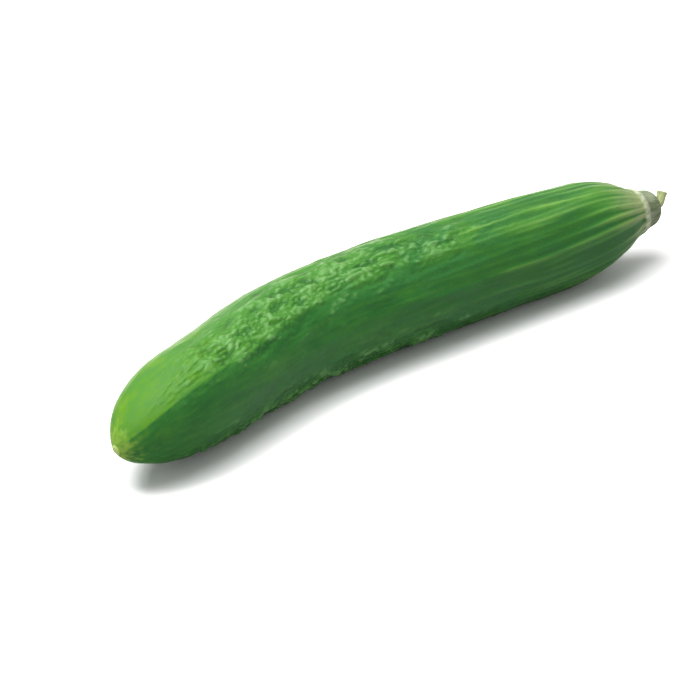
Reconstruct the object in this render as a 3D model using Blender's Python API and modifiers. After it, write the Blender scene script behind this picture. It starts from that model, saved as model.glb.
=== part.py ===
"""A long ribbed cucumber with the stub of its stalk, lying on a surface.

Frame: +X runs from the blossom end to the stem end, +Z is up, and the fruit bows towards +Y.
It rests on z = 0. The origin is the bottom centre of the bounding box. Units are metres.

The fruit is a turned body that is bent along a centreline. Its ribs, its lobes and its puckered
skin are raised from the turned surface by formula.
"""

import math

import bpy
from mathutils import Vector, noise

# Driving dimensions of the fruit
FRUIT_LENGTH = 0.310
GIRTH_RADIUS = 0.0235
RESTING_DEPTH = 0.0009

# Tables that run along the fruit: share of the length from the blossom end, then the value there.
RADIUS_MM = (
    (0.0, 19.3), (0.03, 19.8), (0.07, 20.5), (0.12, 20.5), (0.16, 20.8), (0.20, 21.5),
    (0.35, 22.7), (0.50, 23.1), (0.65, 22.6), (0.80, 21.7), (0.87, 19.9), (0.92, 15.6),
    (0.955, 10.1), (0.975, 8.5), (1.0, 8.0),
)
HEADING_DEG = (
    (0.0, -2.0), (0.04, 11.0), (0.12, 13.5), (0.25, 12.5), (0.40, -0.5),
    (0.55, -5.5), (0.75, -6.0), (0.90, -10.5), (0.95, -10.5), (1.0, -8.0),
)
LIFT_MM = (
    (0.0, -2.3), (0.05, 0.3), (0.12, 1.4), (0.22, 0.0), (0.80, 0.0), (0.90, 2.3), (0.95, 2.2), (1.0, 2.7),
)
RIB_HEIGHT_MM = (
    (0.0, 0.0), (0.03, 0.10), (0.12, 0.22), (0.30, 0.34), (0.50, 0.60),
    (0.70, 0.74), (0.85, 0.82), (0.94, 0.72), (0.962, 0.50), (0.98, 0.15), (1.0, 0.05),
)
LOBE_HEIGHT_MM = (
    (0.0, 0.0), (0.02, 0.7), (0.07, 1.8), (0.20, 2.1), (0.35, 1.15),
    (0.55, 0.6), (0.80, 0.6), (0.93, 0.2), (1.0, 0.0),
)
PUCKER_HEIGHT_MM = (
    (0.0, 0.0), (0.05, 0.0), (0.11, 0.5), (0.18, 0.9), (0.35, 1.1), (0.55, 0.95),
    (0.68, 0.4), (0.85, 0.15), (0.95, 0.0), (1.0, 0.0),
)

# Rounded ends
BLOSSOM_CAP = 0.14
BLOSSOM_CAP_POWER = 1.55
NECK_CAP = 0.024
NECK_CAP_POWER = 2.6
SCAR_RADIUS = 0.0017
SCAR_HEIGHT = 0.0003
SCAR_FOOT = 0.0008

# Collar round the neck, where the ribs end
COLLAR_SHARE = 0.960
COLLAR_WIDTH = 0.007
COLLAR_HEIGHT = 0.0005

# Ribs: angle round the fruit at the stem end in degrees, 0 is up and 90 is +Y, and relative height.
RIBS = (
    (-166.0, 0.75), (-147.0, 0.95), (-128.0, 0.70), (-110.0, 0.90), (-93.0, 0.80),
    (-69.0, 1.00), (-56.0, 0.40), (-43.0, 0.50), (-29.0, 0.90), (-15.0, 1.00),
    (0.0, 0.40), (17.0, 1.00), (37.0, 0.60), (57.0, 0.90), (77.0, 0.75),
    (97.0, 0.95), (117.0, 0.70), (136.0, 1.00), (155.0, 0.70), (174.0, 0.90),
)
RIB_TWIST_DEG = 18.0
RIB_WANDER_DEG = 4.5
RIB_WAVES = 8.0
RIB_HALF_WIDTH = 0.0018
RIB_SHARPNESS = 1.15
CREASE_RIB = 8

# Towards the stem end the ribs even out: from and to these shares, up to this relative height.
EVEN_FROM = 0.72
EVEN_TO = 0.92
EVEN_HEIGHT = 0.95

# Folds of the three lobes
LOBE_ROUNDING = 0.04

# How unevenly high the ribs are
UNEVENNESS = 0.7
UNEVEN_LONG = 0.030
UNEVEN_ROUND = 0.012
UNEVEN_PLACE = Vector((1.9, 5.3, 0.4))

# Puckers: they lie thickest in a band beside the crest of each lobe.
PUCKER_LONG = 0.0100
PUCKER_ROUND = 0.0048
PUCKER_PLACE = Vector((3.7, 11.3, 5.1))
PUCKER_BAND_DEG = 22.0
PUCKER_LEAST = 0.30

# Mesh
COLUMNS_PER_RIB = 4
CAP_RINGS = 12
NECK_ZONE = 0.065
BODY_RINGS = 42
NECK_RINGS = 12

# Stalk
STALK_RADIUS = 0.0022
SOCKET_GAP = 0.0003
SOCKET_DEPTH = 0.0028
SOCKET_RIM = 0.0016
STALK_STRAIGHT = 0.0042
STALK_RISE = 0.0056
STALK_LEAN = (0.55, 0.30, 0.78)
STALK_SIDES = 4

# Finishes: colour and roughness
SKIN = ((0.075, 0.200, 0.045, 1.0), 0.35)
STALK_SKIN = ((0.330, 0.400, 0.110, 1.0), 0.60)


def follow(table, share):
    """The value of a table at a share of the length, on a smooth curve that doesn't overshoot."""
    at = [row[0] for row in table]
    values = [row[1] for row in table]
    share = min(max(share, at[0]), at[-1])
    slopes = [(values[i + 1] - values[i]) / (at[i + 1] - at[i]) for i in range(len(at) - 1)]
    tangents = [slopes[0]]
    for before, after in zip(slopes, slopes[1:]):
        tangents.append(2 * before * after / (before + after) if before * after > 0 else 0.0)
    tangents.append(slopes[-1])
    i = max(k for k in range(len(at) - 1) if at[k] <= share)
    width = at[i + 1] - at[i]
    t = (share - at[i]) / width
    return (
        values[i] * (1 + 2 * t) * (1 - t) ** 2
        + tangents[i] * width * t * (1 - t) ** 2
        + values[i + 1] * t * t * (3 - 2 * t)
        - tangents[i + 1] * width * t * t * (1 - t)
    )


def plain_radius(share):
    """Radius of the turned body before ribs and puckers."""
    radius = follow(RADIUS_MM, share) / 1000
    blossom = min(share / BLOSSOM_CAP, 1.0)
    neck = min((1 - share) / NECK_CAP, 1.0)
    radius *= math.sqrt(1 - (1 - blossom) ** BLOSSOM_CAP_POWER)
    return radius * math.sqrt(1 - (1 - neck) ** NECK_CAP_POWER)


def ring_shares():
    """Where the rings lie: close together on the rounded ends, evenly spread between them."""
    shares = [
        BLOSSOM_CAP * (1 - math.cos(math.pi / 2 * i / CAP_RINGS)) for i in range(1, CAP_RINGS)
    ]
    body = 1 - NECK_ZONE - BLOSSOM_CAP
    shares += [BLOSSOM_CAP + body * i / BODY_RINGS for i in range(BODY_RINGS)]
    shares += [
        1 - NECK_ZONE * (1 - math.sin(math.pi / 2 * i / NECK_RINGS)) for i in range(NECK_RINGS)
    ]
    return shares


def centreline(pieces=620):
    """Points and headings along the middle of the fruit, its chord turned onto +X."""
    step = FRUIT_LENGTH / pieces
    x = y = 0.0
    path = [(0.0, 0.0)]
    for i in range(pieces):
        heading = math.radians(follow(HEADING_DEG, (i + 0.5) / pieces))
        x += step * math.cos(heading)
        y += step * math.sin(heading)
        path.append((x, y))
    turn = -math.atan2(y, x)
    points = []
    for i, (px, py) in enumerate(path):
        share = i / pieces
        height = follow(RADIUS_MM, min(max(share, 0.2), 0.85)) + follow(LIFT_MM, share)
        points.append(
            Vector(
                (
                    px * math.cos(turn) - py * math.sin(turn),
                    px * math.sin(turn) + py * math.cos(turn),
                    height / 1000,
                )
            )
        )
    return points


def place_on(points, share):
    """The point of the centreline at a share of its length, and its forward, side and up axes."""
    last = len(points) - 1
    at = min(max(share, 0.0), 1.0) * last
    i = min(int(at), last - 1)
    point = points[i].lerp(points[i + 1], at - i)
    before = points[max(i - 3, 0)]
    after = points[min(i + 4, last)]
    forward = (after - before).normalized()
    side = Vector((0, 0, 1)).cross(forward).normalized()
    return point, forward, side, forward.cross(side)


def rib_angle(rib, share):
    """Angle of a rib in degrees at a share of the length, with its twist and its wander."""
    angle = RIBS[rib][0] - RIB_TWIST_DEG * (1 - share)
    return angle + RIB_WANDER_DEG * noise.noise(Vector((share * RIB_WAVES, rib * 3.1, 0.7)))


def column_angle(turn, share):
    """Angle of a mesh column: each rib has a column on its crest, with even columns between."""
    position = turn * len(RIBS)
    rib = int(position) % len(RIBS)
    before = rib_angle(rib, share)
    after = rib_angle((rib + 1) % len(RIBS), share)
    if after < before:
        after += 360
    return before + (after - before) * (position - int(position))


def skin_noise(degrees, share, long, wide, place):
    """Smooth noise that follows the straightened fruit, with features of a given size."""
    angle = math.radians(degrees)
    across = GIRTH_RADIUS / wide
    here = Vector((share * FRUIT_LENGTH / long, across * math.cos(angle), across * math.sin(angle)))
    return noise.noise(here + place)


def rib_strength(height, share):
    """Relative height of a rib: its own along the body, evened out towards the stem end."""
    t = min(max((share - EVEN_FROM) / (EVEN_TO - EVEN_FROM), 0.0), 1.0)
    return height + (max(height, EVEN_HEIGHT) - height) * t * t * (3 - 2 * t)


def rib_relief(degrees, radius, share):
    """Height of the ribs at an angle round the fruit."""
    total = 0.0
    for rib, (_, height) in enumerate(RIBS):
        apart = (degrees - rib_angle(rib, share) + 180) % 360 - 180
        width = min(RIB_HALF_WIDTH, 0.2 * radius) / max(radius, 1e-5)
        nearness = math.exp(-((abs(math.radians(apart)) / width) ** RIB_SHARPNESS))
        total += rib_strength(height, share) * nearness
    uneven = skin_noise(degrees, share, UNEVEN_LONG, UNEVEN_ROUND, UNEVEN_PLACE)
    return total * (1 + UNEVENNESS * uneven) * follow(RIB_HEIGHT_MM, share) / 1000


def lobe_relief(degrees, share):
    """Height of the three lobes: flattish faces between creases, the first at the crease rib."""
    apart = math.radians(degrees - rib_angle(CREASE_RIB, share))
    fold = math.hypot(math.sin(1.5 * apart), LOBE_ROUNDING)
    return (2 / math.pi - fold) * follow(LOBE_HEIGHT_MM, share) / 1000


def pucker_relief(degrees, share):
    """Height of the puckered skin."""
    apart = math.radians(degrees - rib_angle(CREASE_RIB, share) - PUCKER_BAND_DEG)
    band = (0.5 + 0.5 * math.cos(3 * apart)) ** 1.5
    strength = (PUCKER_LEAST + (1 - PUCKER_LEAST) * band) * follow(PUCKER_HEIGHT_MM, share)
    pucker = skin_noise(degrees, share, PUCKER_LONG, PUCKER_ROUND, PUCKER_PLACE)
    return pucker * strength / 1000


def collar_relief(share):
    """Height of the collar round the neck."""
    return COLLAR_HEIGHT * math.exp(-(((share - COLLAR_SHARE) / COLLAR_WIDTH) ** 2))


def turned(name, outline, sides):
    """A closed mesh turned round Z from an outline that runs down from the top."""
    mesh = bpy.data.meshes.new(name + "_outline")
    vertices = [(radius, 0.0, height) for radius, height in outline]
    mesh.from_pydata(vertices, [(i, i + 1) for i in range(len(vertices) - 1)], [])
    lathe = bpy.data.objects.new(name + "_outline", mesh)
    bpy.context.scene.collection.objects.link(lathe)
    screw = lathe.modifiers.new("turn", "SCREW")
    screw.axis = "Z"
    screw.steps = sides
    screw.render_steps = sides
    screw.use_merge_vertices = True
    screw.merge_threshold = 0.00001
    bpy.context.view_layer.update()
    graph = bpy.context.evaluated_depsgraph_get()
    made = bpy.data.meshes.new_from_object(lathe.evaluated_get(graph))
    made.name = name
    bpy.data.objects.remove(lathe)
    bpy.data.meshes.remove(mesh)
    return made


def fruit_outline():
    """Radius and height of the turned body, blossom end on top, with scar and stalk socket."""
    top = FRUIT_LENGTH + SCAR_HEIGHT
    socket = STALK_RADIUS + SOCKET_GAP
    outline = [(0.0, top), (SCAR_RADIUS * 0.8, top), (SCAR_RADIUS, top - SCAR_HEIGHT * 0.4)]
    outline.append((SCAR_RADIUS + SCAR_FOOT * 0.3, top - SCAR_HEIGHT * 1.5))
    for share in ring_shares():
        least = SCAR_RADIUS + SCAR_FOOT if share < 0.5 else socket + SOCKET_RIM
        if plain_radius(share) > least:
            outline.append((plain_radius(share), FRUIT_LENGTH * (1 - share)))
    outline.append((socket + SOCKET_RIM * 0.5, 0.0))
    outline.append((socket + SOCKET_RIM * 0.15, 0.0003))
    outline.append((socket, 0.0008))
    outline.append((socket, SOCKET_DEPTH))
    outline.append((0.0, SOCKET_DEPTH))
    return outline


def make_fruit(points, skin, home):
    """The fruit: the turned body, raised by its reliefs, bent, and flattened where it rests."""
    mesh = turned("fruit", fruit_outline(), len(RIBS) * COLUMNS_PER_RIB)
    rim = STALK_RADIUS + SOCKET_GAP + SOCKET_RIM
    for vertex in mesh.vertices:
        radius = math.hypot(vertex.co.x, vertex.co.y)
        share = min(max(1 - vertex.co.z / FRUIT_LENGTH, 0.0), 1.0)
        turn = (math.atan2(vertex.co.y, vertex.co.x) / math.tau) % 1.0
        degrees = column_angle(turn, share)
        raised = radius
        if SCAR_RADIUS + SCAR_FOOT < radius and (radius > rim or share < 0.5):
            raised += rib_relief(degrees, radius, share)
            raised += lobe_relief(degrees, share) + pucker_relief(degrees, share)
            raised += collar_relief(share)
        point, forward, side, up = place_on(points, share)
        angle = math.radians(degrees)
        out = up * math.cos(angle) + side * math.sin(angle)
        past = (1 - share) * FRUIT_LENGTH - vertex.co.z
        vertex.co = point + out * raised + forward * past
    level = min(vertex.co.z for vertex in mesh.vertices) + RESTING_DEPTH
    for vertex in mesh.vertices:
        vertex.co.z = max(vertex.co.z, level)
    mesh.materials.append(skin)
    mesh.shade_smooth()
    mesh.set_sharp_from_angle(angle=math.radians(45))
    fruit = bpy.data.objects.new("fruit", mesh)
    home.objects.link(fruit)
    return fruit, level


def make_stalk(points, skin, home):
    """The stub of the stalk: out of the socket along the neck, then bent upwards, cut flat."""
    base, forward, side, up = place_on(points, 1.0)
    lean = (forward * STALK_LEAN[0] + side * STALK_LEAN[1] + up * STALK_LEAN[2]).normalized()
    start = base - forward * (SOCKET_DEPTH - SOCKET_GAP)
    knee = start + forward * STALK_STRAIGHT
    stations = (
        (start, 1.0),
        (knee - forward * 0.0012, 1.0),
        (knee + lean * 0.0006, 0.97),
        (knee + lean * 0.0022, 0.92),
        (knee + lean * STALK_RISE * 0.8, 0.95),
        (knee + lean * STALK_RISE, 1.1),
    )
    curve = bpy.data.curves.new("stalk", "CURVE")
    curve.dimensions = "3D"
    curve.bevel_depth = STALK_RADIUS
    curve.bevel_resolution = STALK_SIDES
    curve.use_fill_caps = True
    line = curve.splines.new("POLY")
    line.points.add(len(stations) - 1)
    for spot, (place, thickness) in zip(line.points, stations):
        spot.co = (*place, 1.0)
        spot.radius = thickness
    curve.materials.append(skin)
    stalk = bpy.data.objects.new("stalk", curve)
    home.objects.link(stalk)
    return stalk


def make_finish(name, finish):
    """A plain material of one colour and roughness."""
    colour, roughness = finish
    material = bpy.data.materials.new(name)
    material.use_nodes = True
    shader = material.node_tree.nodes["Principled BSDF"]
    shader.inputs["Base Color"].default_value = colour
    shader.inputs["Roughness"].default_value = roughness
    return material


def lay_on_origin(pieces, level):
    """Places the pieces with their resting level at z = 0 and the box round them over the origin."""
    bpy.context.view_layer.update()
    corners = [Vector(corner) for piece in pieces for corner in piece.bound_box]
    middle_x = (min(c.x for c in corners) + max(c.x for c in corners)) / 2
    middle_y = (min(c.y for c in corners) + max(c.y for c in corners)) / 2
    for piece in pieces:
        piece.location = (-middle_x, -middle_y, -level)


def main():
    for old in list(bpy.data.objects):
        bpy.data.objects.remove(old)
    home = bpy.data.collections.new("long_cucumber")
    bpy.context.scene.collection.children.link(home)
    points = centreline()
    fruit, level = make_fruit(points, make_finish("skin", SKIN), home)
    stalk = make_stalk(points, make_finish("stalk_skin", STALK_SKIN), home)
    lay_on_origin((fruit, stalk), level)


main()
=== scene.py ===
"""Dresses a long ribbed cucumber: its puckered green skin and the stub of its stalk.

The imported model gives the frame: +X runs from the blossom end to the stem end, +Z is up, and the
fruit lies on z = 0 and bows towards +Y. Every length is in metres and every angle in degrees,
unless a name says otherwise. The skin is a fine mesh of the same form as the solid: a sphere whose
rings are laid along the fruit's centreline and raised into ribs, lobes and puckers.
"""

from __future__ import annotations

import logging
import math
from dataclasses import dataclass, field
from enum import Enum

import bpy
import numpy as np
from mathutils import Matrix, Vector, noise


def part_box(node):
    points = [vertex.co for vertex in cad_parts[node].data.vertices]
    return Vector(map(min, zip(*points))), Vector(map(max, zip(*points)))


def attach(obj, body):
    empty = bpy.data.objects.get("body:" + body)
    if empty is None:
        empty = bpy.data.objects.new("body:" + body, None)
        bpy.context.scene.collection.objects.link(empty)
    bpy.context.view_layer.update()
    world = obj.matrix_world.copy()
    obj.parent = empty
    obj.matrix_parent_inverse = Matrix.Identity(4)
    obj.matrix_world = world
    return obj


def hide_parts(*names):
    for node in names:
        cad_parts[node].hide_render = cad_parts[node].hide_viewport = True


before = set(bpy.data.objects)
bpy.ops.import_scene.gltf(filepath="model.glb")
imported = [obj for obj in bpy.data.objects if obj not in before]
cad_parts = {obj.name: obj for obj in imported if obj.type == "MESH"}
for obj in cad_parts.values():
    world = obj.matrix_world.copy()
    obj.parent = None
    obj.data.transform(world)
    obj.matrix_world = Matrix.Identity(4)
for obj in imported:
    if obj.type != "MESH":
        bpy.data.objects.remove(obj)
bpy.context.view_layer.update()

LOG = logging.getLogger("cucumber")
LEAST_RADIUS = 1e-5
GRAIN_VALUES = ("Mottle Scale", "Fleck Scale", "Fleck Share")
# The mix node has sockets of the same name for every kind of data. These are its colour ones.
MIX_MASK, MIX_FIRST, MIX_SECOND, MIX_RESULT = 0, 6, 7, 2

Span = tuple[float, float]
Triple = tuple[float, float, float]
Colour = Triple
Rows = tuple[Span, ...]
Array = np.ndarray
Piece = bpy.types.Object
Mesh = bpy.types.Mesh
Material = bpy.types.Material
Tree = bpy.types.NodeTree
Node = bpy.types.Node
Socket = bpy.types.NodeSocket
Feed = Socket | float | Triple
Feeds = dict[str | int, Feed] | None


class Mark(Enum):
    """What the skin's mesh tells its material at each point, by the attribute's name."""

    ALONG = "along"
    CREST = "crest"
    PUCKER = "pucker"
    BAND = "band"
    # The face that the key light falls on, where light is painted into the skin's colour.
    LIT_FACE = "sunny"
    STRAIGHT = "straight"


def smooth(t: Array) -> Array:
    """Ease a share at both ends, from 0 to 1."""
    return t * t * (3 - 2 * t)


@dataclass(frozen=True)
class Course:
    """A value that runs along the fruit, given in rows: a share of the length, the value there."""

    rows: Rows

    @classmethod
    def of(cls, *rows: Span) -> Course:
        """Make a course from its rows."""
        return cls(rows)

    def at(self, shares: Array) -> Array:
        """Read the value on a smooth curve that doesn't overshoot.

        Args:
            shares: Shares of the length, from 0 at the blossom end to 1 at the stem end.

        Returns:
            The values at those shares.
        """
        places, values = np.array(self.rows).T
        shares = np.clip(shares, places[0], places[-1])
        widths = np.diff(places)
        slopes = np.diff(values) / widths
        before, after = slopes[:-1], slopes[1:]
        same_way = before * after > 0
        total = np.where(same_way, before + after, 1.0)
        middle = np.where(same_way, 2 * before * after / total, 0.0)
        tangents = np.concatenate((slopes[:1], middle, slopes[-1:]))
        i = np.clip(np.searchsorted(places, shares, side="right") - 1, 0, len(widths) - 1)
        t = (shares - places[i]) / widths[i]
        bend = tangents[i] * (1 - t) - tangents[i + 1] * t
        straight = values[i] * (1 - smooth(t)) + values[i + 1] * smooth(t)
        return straight + widths[i] * t * (1 - t) * bend


@dataclass(frozen=True)
class Stations:
    """Rings along the fruit's outline: one value a ring, and one angle for each point of a ring."""

    shares: Array
    radii: Array
    past: Array
    on_skin: Array
    degrees: Array

    def read(self, course: Course) -> Array:
        """Read a course at every ring, as a column that multiplies a grid."""
        return course.at(self.shares)[:, None]


@dataclass(frozen=True)
class Ridge:
    """The cross-section of a rib: its width, its widest share of the radius and its sharpness."""

    half_width: float
    widest: float
    sharpness: float

    def nearness(self, rings: Stations, angles: Array) -> Array:
        """Say how near each point is to a rib's crest.

        Args:
            rings: Where the points are.
            angles: The crest's angle at each ring.

        Returns:
            1 on the crest, falling to 0 beside it.
        """
        width = np.minimum(self.half_width, self.widest * rings.radii)
        width /= np.maximum(rings.radii, LEAST_RADIUS)
        apart = (rings.degrees - angles[:, None] + 180) % 360 - 180
        return np.exp(-((np.abs(np.radians(apart)) / width[:, None]) ** self.sharpness))


@dataclass(frozen=True)
class Pattern:
    """Noise on the skin: the size of a feature along and round the fruit, and the noise's place."""

    long: float
    wide: float
    place: Triple


def drift(shares: Array, waves: float, seed: float, place: float) -> Array:
    """Read noise that changes slowly along the fruit, from about -0.5 to 0.5."""
    return np.array([noise.noise(Vector((share * waves, seed, place))) for share in shares])


@dataclass
class FruitForm:
    """The form of the fruit: its centreline, its girth and its reliefs."""

    length: float = 0.310
    resting_depth: float = 0.0009
    level_span: Span = (0.2, 0.85)
    radius_mm: Course = Course.of(
        (0.0, 19.3), (0.03, 19.8), (0.07, 20.5), (0.12, 20.5), (0.16, 20.8), (0.20, 21.5),
        (0.35, 22.7), (0.50, 23.1), (0.65, 22.6), (0.80, 21.7), (0.87, 19.9), (0.92, 15.6),
        (0.955, 10.1), (0.975, 8.5), (1.0, 8.0),
    )
    heading: Course = Course.of(
        (0.0, -2.0), (0.04, 11.0), (0.12, 13.5), (0.25, 12.5), (0.40, -0.5), (0.55, -5.5),
        (0.75, -6.0), (0.90, -10.5), (0.95, -10.5), (1.0, -8.0),
    )
    lift_mm: Course = Course.of(
        (0.0, -2.3), (0.05, 0.3), (0.12, 1.4), (0.22, 0.0), (0.80, 0.0), (0.90, 2.3), (0.95, 2.2),
        (1.0, 2.7),
    )
    rib_height_mm: Course = Course.of(
        (0.0, 0.0), (0.03, 0.10), (0.12, 0.22), (0.30, 0.34), (0.50, 0.60), (0.70, 0.74),
        (0.85, 0.82), (0.94, 0.72), (0.962, 0.50), (0.98, 0.15), (1.0, 0.05),
    )
    lobe_height_mm: Course = Course.of(
        (0.0, 0.0), (0.02, 0.7), (0.07, 1.8), (0.20, 2.1), (0.35, 1.15), (0.55, 0.6), (0.80, 0.6),
        (0.93, 0.2), (1.0, 0.0),
    )
    pucker_height_mm: Course = Course.of(
        (0.0, 0.0), (0.05, 0.0), (0.11, 0.5), (0.18, 0.9), (0.35, 1.1), (0.55, 0.95), (0.68, 0.4),
        (0.85, 0.15), (0.95, 0.0), (1.0, 0.0),
    )
    border_width: Course = Course.of(
        (0.0, 2.0), (0.20, 4.0), (0.33, 14.0), (0.45, 30.0), (0.60, 60.0), (1.0, 95.0),
    )
    wrinkle_height_mm: Course = Course.of(
        (0.0, 0.0), (0.03, 0.0), (0.07, 0.40), (0.14, 0.75), (0.35, 0.90), (0.55, 0.70),
        (0.68, 0.28), (0.85, 0.08), (0.95, 0.0), (1.0, 0.0),
    )
    fine_rib_height_mm: Course = Course.of(
        (0.0, 0.0), (0.10, 0.05), (0.35, 0.18), (0.60, 0.38), (0.80, 0.48), (0.90, 0.22),
        (0.95, 0.05), (1.0, 0.0),
    )
    ribs: Rows = (
        (-166.0, 0.75), (-147.0, 0.95), (-128.0, 0.70), (-110.0, 0.90), (-93.0, 0.80),
        (-69.0, 1.00), (-56.0, 0.40), (-43.0, 0.50), (-29.0, 0.90), (-15.0, 1.00),
        (0.0, 0.40), (17.0, 1.00), (37.0, 0.60), (57.0, 0.90), (77.0, 0.75),
        (97.0, 0.95), (117.0, 0.70), (136.0, 1.00), (155.0, 0.70), (174.0, 0.90),
    )
    rib_twist: float = 18.0
    rib_wander: float = 4.5
    rib_waves: float = 8.0
    rib: Ridge = Ridge(0.0018, 0.20, 1.15)
    crease_rib: int = 8
    even_from: float = 0.72
    even_to: float = 0.92
    even_height: float = 0.95
    fine_rib_spacing: float = 8.5
    fine_rib_sway: float = 0.30
    fine_rib_swell: float = 1.4
    fine_rib_strength: float = 0.60
    fine_rib: Ridge = Ridge(0.0010, 0.12, 1.4)
    lobe_rounding: float = 0.04
    unevenness: float = 0.7
    uneven: Pattern = Pattern(0.030, 0.012, (1.9, 5.3, 0.4))
    pucker: Pattern = Pattern(0.0100, 0.0048, (3.7, 11.3, 5.1))
    pucker_band: float = 22.0
    pucker_band_sharpness: float = 1.5
    pucker_least: float = 0.30
    girth_radius: float = 0.0235
    blossom_cap: float = 0.14
    blossom_power: float = 1.55
    neck_cap: float = 0.024
    neck_power: float = 2.6
    neck_zone: float = 0.065
    collar_share: float = 0.960
    collar_width: float = 0.007
    collar_height_mm: float = 0.5
    scar_radius: float = 0.0017
    scar_height: float = 0.0003
    scar_foot: float = 0.0008
    socket_radius: float = 0.0025
    socket_rim: float = 0.0016
    socket_depth: float = 0.0028

    def plain_radius(self, shares: Array) -> Array:
        """Give the radius before any relief.

        Args:
            shares: Shares of the length.

        Returns:
            Radii in metres.
        """
        blossom = np.clip(shares / self.blossom_cap, 0.0, 1.0)
        neck = np.clip((1 - shares) / self.neck_cap, 0.0, 1.0)
        radii = self.radius_mm.at(shares) / 1000
        radii = radii * np.sqrt(1 - (1 - blossom) ** self.blossom_power)
        return radii * np.sqrt(1 - (1 - neck) ** self.neck_power)

    def centreline(self, pieces: int = 620) -> Array:
        """Lay out the middle of the fruit, with its chord along +X.

        Args:
            pieces: How many straight steps the line is walked in.

        Returns:
            One point a row, from the blossom end to the stem end.
        """
        headings = np.radians(self.heading.at((np.arange(pieces) + 0.5) / pieces))
        steps = self.length / pieces * np.array((np.cos(headings), np.sin(headings)))
        x, y = np.pad(np.cumsum(steps, axis=1), ((0, 0), (1, 0)))
        turn = -math.atan2(y[-1], x[-1])
        shares = np.linspace(0, 1, pieces + 1)
        height = self.radius_mm.at(np.clip(shares, *self.level_span)) + self.lift_mm.at(shares)
        along = x * math.cos(turn) - y * math.sin(turn)
        aside = x * math.sin(turn) + y * math.cos(turn)
        return np.column_stack((along, aside, self.eased(height) / 1000))

    def eased(self, heights: Array, reach: int = 30) -> Array:
        """Round off kinks in the centreline's height, which would show as lines across the skin."""
        weights = np.hanning(2 * reach + 3)[1:-1]
        padded = np.pad(heights, reach, mode="reflect", reflect_type="odd")
        return np.convolve(padded, weights / weights.sum(), mode="valid")

    def place(self, shares: Array) -> tuple[Array, Array, Array, Array]:
        """Give points on the centreline and the axes of the fruit there.

        Args:
            shares: Shares of the length.

        Returns:
            The points, and the forward, side and up directions, one row a share.
        """
        line = self.centreline()
        last = len(line) - 1
        at = np.clip(shares, 0.0, 1.0) * last
        i = np.minimum(at.astype(int), last - 1)
        rest = (at - i)[:, None]
        points = line[i] * (1 - rest) + line[i + 1] * rest
        forward = line[np.minimum(i + 4, last)] - line[np.maximum(i - 3, 0)]
        forward /= np.linalg.norm(forward, axis=1)[:, None]
        side = np.cross(np.array((0.0, 0.0, 1.0)), forward)
        side /= np.linalg.norm(side, axis=1)[:, None]
        return points, forward, side, np.cross(forward, side)

    def rib_angles(self, shares: Array) -> Array:
        """Give the angle of every rib, with its twist and its wander.

        Args:
            shares: Shares of the length.

        Returns:
            One row a share and one column a rib, and the first rib again, a whole turn on.
        """
        wander = [drift(shares, self.rib_waves, 3.1 * rib, 0.7) for rib in range(len(self.ribs))]
        angles = np.array([angle for angle, _ in self.ribs]) + self.rib_wander * np.array(wander).T
        angles -= self.rib_twist * (1 - shares)[:, None]
        return np.column_stack((angles, angles[:, 0] + 360))

    def between_ribs(self, columns: int) -> tuple[Array, Array]:
        """Give the rib before each mesh column, and the column's share of the way to the next."""
        position = np.arange(columns) * len(self.ribs) / columns
        return position.astype(int), position - position.astype(int)

    def column_angles(self, shares: Array, columns: int) -> Array:
        """Spread the mesh's columns so that some run on the crests of the ribs.

        Args:
            shares: Shares of the length, one a ring.
            columns: How many columns go round.

        Returns:
            Angles in degrees, one row a ring and one column a mesh column.
        """
        angles = self.rib_angles(shares)
        rib, between = self.between_ribs(columns)
        return angles[:, rib] * (1 - between) + angles[:, rib + 1] * between

    def crests(self, rings: Stations) -> Array:
        """Say how near each point is to the crest of a rib.

        Args:
            rings: Where the points are.

        Returns:
            About 1 on a crest of full height and 0 between ribs, uneven along each rib.
        """
        total = np.zeros_like(rings.degrees)
        for rib, angles in enumerate(self.rib_angles(rings.shares).T[:-1]):
            strength = self.rib_strength(rib, rings.shares)[:, None]
            total += strength * self.rib.nearness(rings, angles)
        return total * (1 + self.unevenness * self.skin_noise(rings, self.uneven))

    def rib_strength(self, rib: int, shares: Array) -> Array:
        """Give a rib's relative height: its own along the body, evened out at the stem end."""
        t = np.clip((shares - self.even_from) / (self.even_to - self.even_from), 0.0, 1.0)
        height = self.ribs[rib][1]
        return height + (max(height, self.even_height) - height) * smooth(t)

    def ridge_phase(self, columns: int) -> Array:
        """Say where each mesh column lies: 1 on a rib's crest, falling to 0 between two ribs."""
        return np.abs(2 * self.between_ribs(columns)[1] - 1)

    def fine_crests(self, rings: Stations) -> Array:
        """Say how near each point is to a fine rib: one or two run between each pair of ribs.

        Args:
            rings: Where the points are.

        Returns:
            From 0 to 1, coming and going along each fine rib.
        """
        angles = self.rib_angles(rings.shares)
        total = np.zeros_like(rings.degrees)
        for rib, (angle, _) in enumerate(self.ribs):
            gap = (self.ribs[(rib + 1) % len(self.ribs)][0] - angle) % 360
            lines = max(1, round(gap / self.fine_rib_spacing) - 1)
            for line in range(lines):
                seed = 3.7 * rib + 1.9 * line
                sway = self.fine_rib_sway * drift(rings.shares, 6, seed, 4.1)
                swell = self.fine_rib_swell * drift(rings.shares, 9, seed, 9.2)
                between = (line + 1) / (lines + 1) + sway
                centre = angles[:, rib] * (1 - between) + angles[:, rib + 1] * between
                strength = np.clip(self.fine_rib_strength + swell, 0.0, 1.0)[:, None]
                total += strength * self.fine_rib.nearness(rings, centre)
        return total

    def from_crease(self, rings: Stations) -> Array:
        """Give the angle from the crest of the first lobe, in radians."""
        crease = self.rib_angles(rings.shares)[:, self.crease_rib]
        return np.radians(rings.degrees - crease[:, None])

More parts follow.
